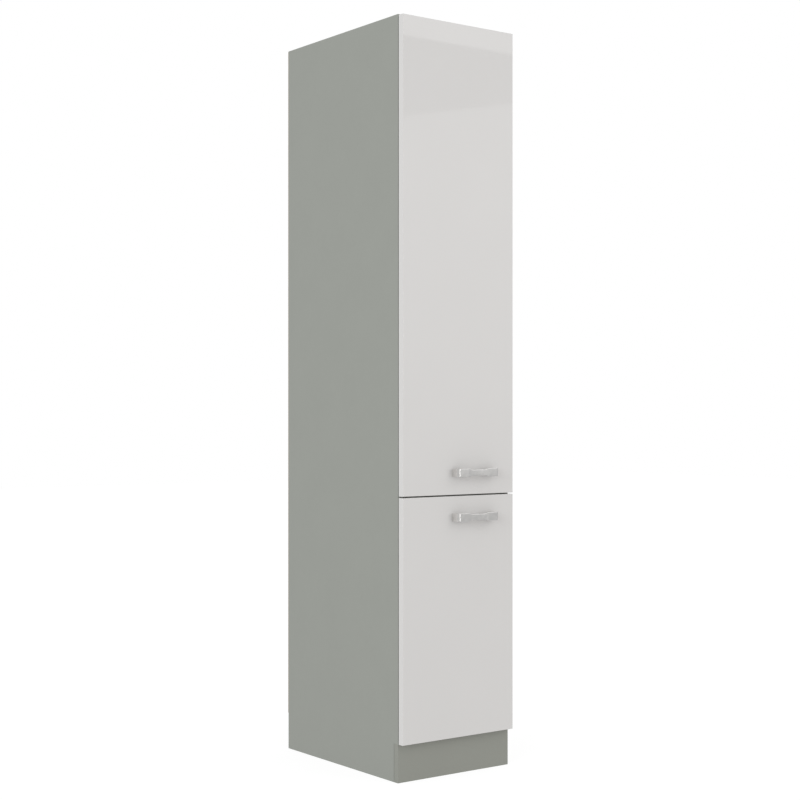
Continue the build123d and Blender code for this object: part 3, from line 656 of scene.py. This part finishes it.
def handleTree(material, detail=handleDetail):
    # a rounded bar swept between an outer and an inner path, lower at its waist than at its pads
    tree, sizes = startTree("bowHandle", handleSizes)
    halfLength = times(tree, sizes["Length"], 0.5)
    waistEnd = minus(tree, halfLength, sizes["Pad Width"])
    waistStart = minus(tree, waistEnd, sizes["Blend"])

    def path(half, frontY, corner, recess):
        # out from the door, along the front and back to the door, hollow along the waist
        line = addNode(tree, "GeometryNodeMeshLine", {"Count": 4})
        fromMiddle = minus(tree, addNode(tree, "GeometryNodeInputIndex").outputs[0], 1.5)
        inFront = calc(tree, "LESS_THAN", calc(tree, "ABSOLUTE", fromMiddle), 1.0)
        point = vectorFrom(tree, {0: times(tree, calc(tree, "SIGN", fromMiddle), half),
                                  1: times(tree, inFront, frontY)})
        moved = addNode(tree, "GeometryNodeSetPosition", {
            "Geometry": line.outputs[0], "Position": point})
        curve = addNode(tree, "GeometryNodeMeshToCurve", {"Mesh": moved.outputs[0]})
        rounded = addNode(tree, "GeometryNodeFilletCurve", {
            "Curve": curve.outputs[0], "Radius": corner, "Count": detail["cornerSteps"],
            "Limit Radius": True}, mode="POLY")
        dense = addNode(tree, "GeometryNodeResampleCurve", {
            "Curve": rounded.outputs[0], "Count": detail["pathPoints"]})
        along = calc(tree, "DIVIDE", hereIn(tree)[0], waistEnd)
        hollow = larger(tree, minus(tree, 1.0, times(tree, along, along)), 0.0)
        inset = vectorFrom(tree, {1: times(tree, hollow, recess)})
        return addNode(tree, "GeometryNodeSetPosition", {
            "Geometry": dense.outputs[0], "Offset": inset}).outputs[0]

    def fromWaist(x, low, high):  # low at the waist, high at the pads
        return addNode(tree, "ShaderNodeMapRange", {
            "Value": calc(tree, "ABSOLUTE", x), "From Min": waistStart, "From Max": waistEnd,
            "To Min": low, "To Max": high}, interpolation_type="SMOOTHSTEP").outputs[0]

    outer = path(halfLength, times(tree, sizes["Reach"], -1.0),
                 sizes["Outer Corner"], sizes["Recess"])
    inner = path(minus(tree, halfLength, sizes["Leg"]),
                 minus(tree, sizes["Bar"], sizes["Reach"]), sizes["Inner Corner"], 0.0)
    tube = addNode(tree, "GeometryNodeMeshCylinder", {
        "Vertices": detail["sides"], "Side Segments": detail["rings"],
        "Radius": 1.0, "Depth": 1.0}, fill_type="NGON")
    here = hereIn(tree)
    share = plus(tree, here[2], 0.5)
    innerPoint, outerPoint = (
        addNode(tree, "GeometryNodeSampleCurve", {"Curves": curve, "Factor": share},
                mode="FACTOR").outputs["Position"]
        for curve in (inner, outer))
    roundness = fromWaist(axesOf(tree, outerPoint)[0],
                          sizes["Waist Roundness"], sizes["Pad Roundness"])

    def squared(value):  # a circle pushed out towards a rounded square
        size = calc(tree, "POWER", calc(tree, "ABSOLUTE", value), roundness)
        return times(tree, size, calc(tree, "SIGN", value))

    between = addNode(tree, "ShaderNodeMix", data_type="VECTOR")
    across = calc(tree, "MULTIPLY_ADD", squared(here[0]), 0.5, 0.5)
    for place, value in ((0, across), (4, innerPoint), (5, outerPoint)):
        feed(tree, between.inputs[place], value)
    spot = axesOf(tree, between.outputs[1])
    height = fromWaist(spot[0], sizes["Waist Height"], sizes["Pad Height"])
    rise = times(tree, times(tree, squared(here[1]), height), 0.5)
    final = vectorFrom(tree, {
        0: plus(tree, spot[0], sizes["Centre X"]),
        1: plus(tree, spot[1], sizes["Door Face"]),
        2: plus(tree, rise, sizes["Centre Z"]),
    })
    bow = addNode(tree, "GeometryNodeSetPosition", {
        "Geometry": tube.outputs["Mesh"], "Position": final})
    # the sweep leaves the tube inside out, so its faces are turned
    outward = addNode(tree, "GeometryNodeFlipFaces", {"Mesh": bow.outputs[0]})
    endTree(tree, outward.outputs[0], material)
    return tree


handleBow = handleTree(satinNickel)
for name in ("upper", "lower"):
    node = name + "_handle"
    low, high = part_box(node)
    sizes = dict(handleSizes)
    sizes.update({
        "Centre X": (low.x + high.x) / 2,
        "Centre Z": (low.z + high.z) / 2,
        "Door Face": high.y,
        "Length": high.x - low.x,
        "Reach": high.y - low.y,
        "Pad Height": high.z - low.z,
    })
    growPiece(name + "BowHandle", handleBow, [((0, 0, 0), (0, 0, 1))], sizes, node,
              angle=handleDetail["smoothWithin"])
print("larder cabinet: handles are bent")


def looseParts(node):
    # the corner points of each separate solid of a carried-over node
    shape = mergedShape(node)
    left, parts = set(shape.verts), []
    while left:
        queue, part = [left.pop()], []
        while queue:
            vert = queue.pop()
            part.append(vert.co.copy())
            for edge in vert.link_edges:
                other = edge.other_vert(vert)
                if other in left:
                    left.remove(other)
                    queue.append(other)
        parts.append(part)
    shape.free()
    return parts


fastenerSizes = {
    # the first four are read from each set's own solids
    "Head Radius": 0.0035,
    "Head Height": 0.0016,
    "Shank Radius": 0.0017,
    "Shank Length": 0.014,
    "Recess": 0.55,
    "Dome": 0.35,
}
fastenerDetail = {
    "headSides": 40,
    "headSteps": 3,
    "headRings": 6,
    "shankSides": 20,
    "domeFrom": 0.3,       # of the head's height
    "crossLength": 1.15,   # of the head's radius
    "crossWidth": 0.26,
    "rimFrom": 0.97,
    "tipWithin": 1e-5,
}


def readFastener(points, detail=fastenerDetail):
    # the seat, facing and sizes of a headed pin, from the corner points of its solid
    low = Vector([min(p[k] for p in points) for k in range(3)])
    high = Vector([max(p[k] for p in points) for k in range(3)])
    along = max(range(3), key=lambda k: high[k] - low[k])
    centre = (low + high) / 2
    first, second = [k for k in range(3) if k != along]

    def radius(p):
        return math.hypot(p[first] - centre[first], p[second] - centre[second])

    headRadius = max(radius(p) for p in points)
    rim = [p[along] for p in points if radius(p) > detail["rimFrom"] * headRadius]
    towards = 1 if sum(rim) / len(rim) > centre[along] else -1
    facing = Vector([0, 0, 0])
    facing[along] = towards
    seat = centre.copy()
    seat[along] = min(rim) if towards > 0 else max(rim)
    tip = low[along] if towards > 0 else high[along]
    shank = max(radius(p) for p in points if abs(p[along] - tip) < detail["tipWithin"])
    return {"seat": (tuple(seat), tuple(facing)), "Head Radius": headRadius,
            "Head Height": max(rim) - min(rim), "Shank Radius": shank,
            "Shank Length": abs(seat[along] - tip)}


def fastenerTree(name, recessed, material, detail=fastenerDetail):
    # one pin with a domed head, and its cross recess, set on every seat
    tree, sizes = startTree(name, fastenerSizes)
    radius, height = sizes["Head Radius"], sizes["Head Height"]
    head = addNode(tree, "GeometryNodeMeshCylinder", {
        "Vertices": detail["headSides"], "Side Segments": detail["headSteps"],
        "Fill Segments": detail["headRings"], "Radius": radius, "Depth": height},
        fill_type="TRIANGLE_FAN")
    here = hereIn(tree)
    fromAxis = plus(tree, times(tree, here[0], here[0]), times(tree, here[1], here[1]))
    share = calc(tree, "DIVIDE", fromAxis, times(tree, radius, radius))
    upper = calc(tree, "GREATER_THAN", here[2], times(tree, height, detail["domeFrom"]))
    drop = times(tree, times(tree, share, upper),
                 times(tree, height, times(tree, sizes["Dome"], -1.0)))
    lift = vectorFrom(tree, {2: plus(tree, drop, times(tree, height, 0.5))})
    domed = addNode(tree, "GeometryNodeSetPosition", {
        "Geometry": head.outputs["Mesh"], "Offset": lift})
    headMesh = domed.outputs[0]
    if recessed:
        joined = addNode(tree, "GeometryNodeMeshBoolean", operation="UNION", solver="MANIFOLD")
        for turn in (0, 1):
            size = vectorFrom(tree, {turn: times(tree, radius, detail["crossLength"]),
                                     1 - turn: times(tree, radius, detail["crossWidth"]),
                                     2: times(tree, height, 2.0)})
            arm = addNode(tree, "GeometryNodeMeshCube", {"Size": size})
            tree.links.new(arm.outputs["Mesh"], joined.inputs[1])
        rise = times(tree, height, minus(tree, 2.0, sizes["Recess"]))
        raised = addNode(tree, "GeometryNodeTransform", {
            "Geometry": joined.outputs[0], "Translation": vectorFrom(tree, {2: rise})})
        cut = addNode(tree, "GeometryNodeMeshBoolean", {0: headMesh, 1: raised.outputs[0]},
                      operation="DIFFERENCE", solver="MANIFOLD")
        headMesh = cut.outputs[0]
    shank = addNode(tree, "GeometryNodeMeshCylinder", {
        "Vertices": detail["shankSides"], "Side Segments": 1,
        "Radius": sizes["Shank Radius"], "Depth": sizes["Shank Length"]}, fill_type="NGON")
    down = vectorFrom(tree, {2: times(tree, sizes["Shank Length"], -0.5)})
    lowered = addNode(tree, "GeometryNodeTransform", {
        "Geometry": shank.outputs["Mesh"], "Translation": down})
    whole = addNode(tree, "GeometryNodeJoinGeometry")
    for part in (lowered.outputs[0], headMesh):
        tree.links.new(part, whole.inputs[0])
    facing = addNode(tree, "GeometryNodeInputNamedAttribute", {"Name": "facing"},
                     data_type="FLOAT_VECTOR")
    turned = addNode(tree, "FunctionNodeAlignRotationToVector", {"Vector": facing.outputs[0]},
                     axis="Z")
    placed = addNode(tree, "GeometryNodeInstanceOnPoints", {
        "Points": sizes["Geometry"], "Instance": whole.outputs[0],
        "Rotation": turned.outputs[0]})
    endTree(tree, placed.outputs[0], material)
    return tree


crossHeads = fastenerTree("crossHeadScrews", True, zincSteel)
plainHeads = fastenerTree("plainNails", False, zincSteel)
fastenerDomes = {
    "hinge_plate_screws": 0.4,
    "hinge_arm_screws": 0.2,
    "upper_cup_screws": 0.3,
    "lower_cup_screws": 0.3,
    "upper_handle_screws": 0.45,
    "lower_handle_screws": 0.45,
    "wall_bracket_screws": 0.4,
    "plinth_bracket_screws": 0.4,
    "back_nails": 0.2,
}
for node, dome in fastenerDomes.items():
    fasteners = sorted((readFastener(points) for points in looseParts(node)),
                       key=lambda fastener: fastener["seat"])
    sizes = {label: fasteners[0][label] for label in fastenerSizes if label in fasteners[0]}
    sizes["Dome"] = dome
    first, *others = node.split("_")
    growPiece(first + "".join(word.title() for word in others),
              plainHeads if node == "back_nails" else crossHeads,
              [fastener["seat"] for fastener in fasteners], sizes, node)
print("larder cabinet: screws and nails are driven")


# studio: a pale floor, a soft level light, and large soft panels for the gloss to mirror

white = (1, 1, 1, 1)
studioLook = {
    "floorSize": 16.0,
    "floorColour": (0.20, 0.20, 0.20, 1),
    "floorRoughness": 0.9,
    "floorSeen": 0.86,           # added where the camera sees the floor
    "floorMirrored": 0.38,       # added where a gloss mirrors the floor
    "floorBounce": 0.60,         # added to the light that the floor gives back
    "worldLevel": 0.77,          # light on the object from all round
    "mirroredLevel": 0.58,       # what a gloss mirrors
    "seenLevel": 1.0,            # white for the camera
}


def levelByRay(tree, scattered, mirrored, seen):
    rays = addNode(tree, "ShaderNodeLightPath").outputs
    straight = larger(tree, rays["Is Camera Ray"], rays["Is Transmission Ray"])
    bounced = blendValue(tree, rays["Is Glossy Ray"], scattered, mirrored)
    return blendValue(tree, straight, bounced, seen)


def studioWorld(look=studioLook):
    world = bpy.data.worlds.new("studio")
    bpy.context.scene.world = world
    world.use_nodes = True
    tree = world.node_tree
    shader = tree.nodes["Background"]
    shader.inputs["Color"].default_value = white
    feed(tree, shader.inputs["Strength"],
         levelByRay(tree, look["worldLevel"], look["mirroredLevel"], look["seenLevel"]))


def studioFloor(look=studioLook):
    size = look["floorSize"]
    corners = [(-size, -size, 0), (size, -size, 0), (size, size, 0), (-size, size, 0)]
    mesh = bpy.data.meshes.new("studioFloor")
    mesh.from_pydata(corners, [], [(0, 1, 2, 3)])
    floor = addObject("studioFloor", mesh)
    material = bpy.data.materials.new("studioFloor")
    material.use_nodes = True
    tree = material.node_tree
    shader = tree.nodes["Principled BSDF"]
    shader.inputs["Base Color"].default_value = look["floorColour"]
    shader.inputs["Roughness"].default_value = look["floorRoughness"]
    shader.inputs["Specular IOR Level"].default_value = 0.0
    shader.inputs["Emission Color"].default_value = white
    feed(tree, shader.inputs["Emission Strength"],
         levelByRay(tree, look["floorBounce"], look["floorMirrored"], look["floorSeen"]))
    mesh.materials.append(material)


softPanels = {
    # a panel's middle, width and height, level, the point it faces, its roll and its tint
    "leftPanel": {"middle": (-8.0, -3.0, 2.8), "size": (6.0, 3.4), "level": 3.6,
                  "aim": (0.0, 0.1, 1.1), "roll": 0.0, "tint": (0.92, 0.98, 1.0),
                  "mirrored": False},
    "cardPanel": {"middle": (4.207, -4.5, 1.879), "size": (3.4, 2.4), "level": 0.48,
                  "aim": (4.207, 0.0, 1.879), "roll": 11.6, "tint": (1.0, 1.0, 1.0),
                  "fade": True},
    "keyPanel": {"middle": (3.0, -3.65, 3.865), "size": (4.0, 2.0), "level": 0.84,
                 "aim": (3.0, -2.65, 2.255), "roll": 0.0, "tint": (1.0, 1.0, 1.0)},
    "fillPanel": {"middle": (-1.2, -5.2, 1.0), "size": (3.4, 1.7), "level": 0.35,
                  "aim": (0.0, 0.0, 1.0), "roll": 0.0, "tint": (1.0, 0.98, 0.95)},
    "stripPanel": {"middle": (1.52, -4.0, 1.3), "size": (0.25, 2.4), "level": 4.6,
                   "aim": (0.0, -0.3, 1.0), "roll": 0.0, "tint": (1.0, 1.0, 1.0)},
}


def softPanel(name, look):
    light = bpy.data.lights.new(name, "AREA")
    light.shape = "RECTANGLE"
    light.size, light.size_y = look["size"]
    light.energy = look["level"] * math.pi * light.size * light.size_y
    light.color = look["tint"]
    if look.get("fade"):  # the lower part of the panel dims towards nothing
        light.use_nodes = True
        tree = light.node_tree
        place = addNode(tree, "ShaderNodeNewGeometry").outputs["Parametric"]
        short = minus(tree, 1.0, axesOf(tree, place)[1])
        strength = minus(tree, 1.0, times(tree, short, short))
        feed(tree, tree.nodes["Emission"].inputs["Strength"], strength)
    panel = addObject(name, light)
    panel.location = look["middle"]
    turn = (Vector(look["aim"]) - Vector(look["middle"])).to_track_quat("-Z", "Y")
    roll = Quaternion((0, 0, 1), math.radians(look["roll"]))
    panel.rotation_euler = (turn @ roll).to_euler()
    panel.visible_glossy = look.get("mirrored", True)


studioWorld()
studioFloor()
for name, look in softPanels.items():
    softPanel(name, look)

cameraLook = {"place": (-2.7818, -3.76635, 1.0360), "yaw": 36.43, "sensor": 36.0,
              "lens": 70.48, "shiftY": 0.01365, "farClip": 100.0}
cameraData = bpy.data.cameras.new("camera")
cameraData.sensor_width = cameraLook["sensor"]
cameraData.lens = cameraLook["lens"]
cameraData.shift_y = cameraLook["shiftY"]
cameraData.clip_end = cameraLook["farClip"]
camera = addObject("camera", cameraData)
camera.location = cameraLook["place"]
camera.rotation_euler = (math.radians(90), 0, -math.radians(cameraLook["yaw"]))
bpy.context.scene.camera = camera
bpy.context.scene.view_settings.view_transform = "Standard"
print("larder cabinet: studio and camera are set")
